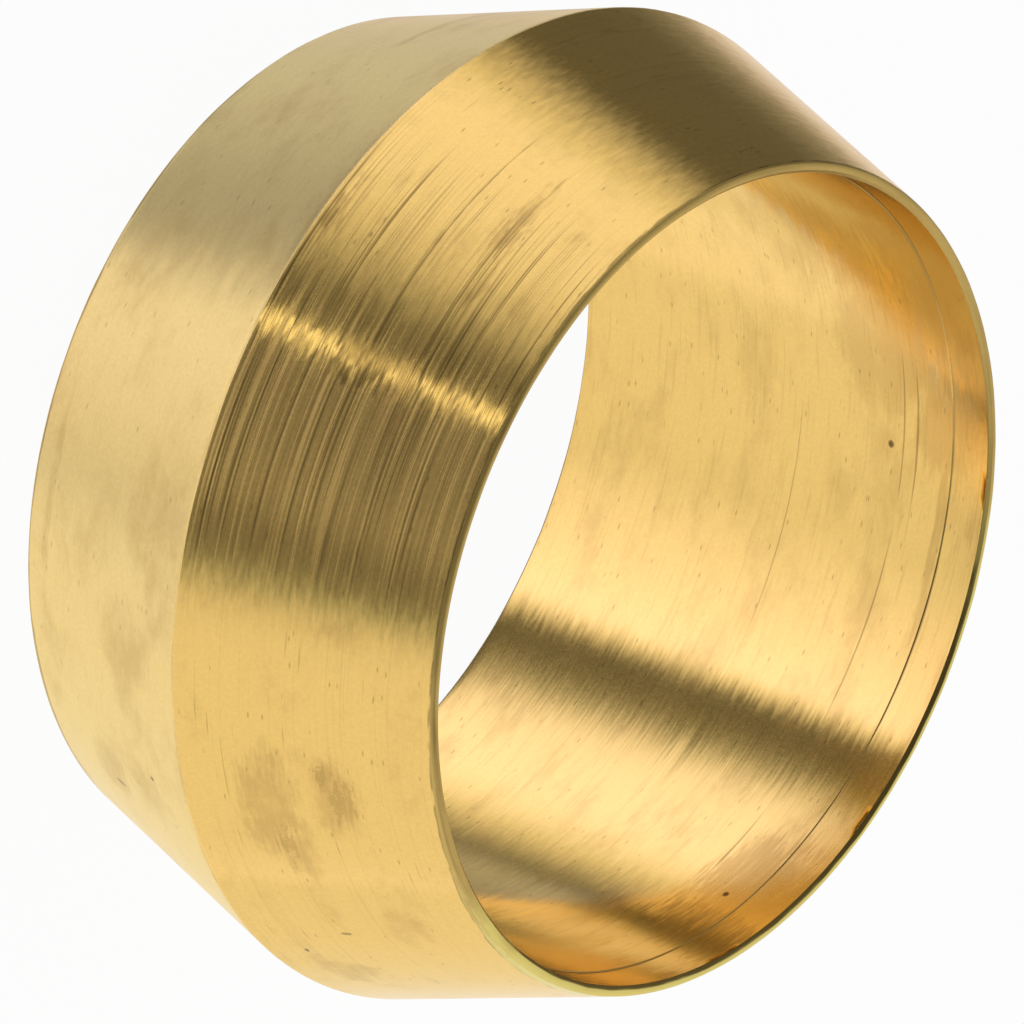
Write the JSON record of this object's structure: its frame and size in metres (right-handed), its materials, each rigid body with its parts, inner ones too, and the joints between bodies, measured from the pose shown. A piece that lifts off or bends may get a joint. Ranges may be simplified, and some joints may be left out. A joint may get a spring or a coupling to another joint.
{
  "type": "compression olive",
  "caption": "Turned brass compression olive: a thin ring with a straight bore and two like cones meeting at a ridge, squeezed onto a tube to seal a joint.",
  "frame": {"origin": "centre of the lower end of the bore, on the plane that the ring stands on", "axes": "+Z along the bore, from the lower end to the upper end; X and Y are free because the ring is round"},
  "size_m": [0.0188, 0.0188, 0.0097],
  "materials": {
    "brass": "bare turned brass, satin, with fine turning marks and light tarnish"
  },
  "bodies": {
    "root": {"olive": "brass"}
  },
  "joints": []
}
